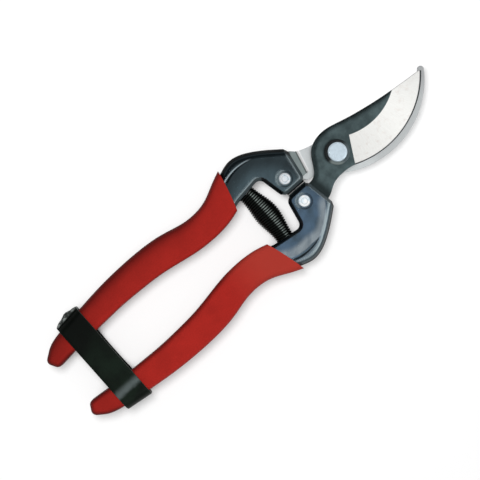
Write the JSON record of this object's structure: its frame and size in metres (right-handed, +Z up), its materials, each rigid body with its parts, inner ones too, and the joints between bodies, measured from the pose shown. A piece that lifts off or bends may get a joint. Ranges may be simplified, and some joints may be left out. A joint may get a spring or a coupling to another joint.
{
  "type": "pruning shears",
  "caption": "Bypass pruning shears with a curved cutting blade over a hooked counter blade, red dipped grips, a barrel return spring and a leather strap holding the handles shut.",
  "frame": {"origin": "on the pivot axis, at the underside of the pivot nut, level with the table that the shears lie on", "axes": "+X along the shears to the blade tip, +Y to the handle that carries the counter blade, +Z up out of the table along the pivot"},
  "size_m": [0.2006, 0.0546, 0.016],
  "materials": {
    "bright_steel": "ground bright steel",
    "blade_steel": "dark treated steel with a bright ground bevel",
    "handle_enamel": "glossy blue-black enamel on pressed steel",
    "red_vinyl": "matte dipped vinyl with a fine grain",
    "plated_steel": "bright plated",
    "dark_washer": "blackened steel",
    "spring_black": "black oiled spring wire",
    "black_leather": "smooth black leather"
  },
  "bodies": {
    "hook_side": {"counter_blade": "bright_steel", "hook_handle": "handle_enamel", "hook_grip": "red_vinyl", "hook_rivet": "plated_steel", "hook_spring_post": "plated_steel", "return_spring": "spring_black", "pivot_bolt": "plated_steel", "pivot_washer": "dark_washer", "pivot_lock_washer": "dark_washer", "pivot_nut": "plated_steel", "strap": "black_leather", "strap_rivet": "plated_steel", "strap_rivet_washer": "plated_steel"},
    "blade_side": {"cutting_blade": "blade_steel", "blade_handle": "handle_enamel", "blade_grip": "red_vinyl", "blade_rivet": "plated_steel", "blade_spring_post": "plated_steel"}
  },
  "joints": [
    {"name": "pivot", "type": "hinge", "parent": "hook_side", "child": "blade_side", "pos_m": [0, 0, 0.008], "axis": [0, 0, 1], "range_deg": [0, 25], "deforming": ["return_spring", "strap"]}
  ]
}
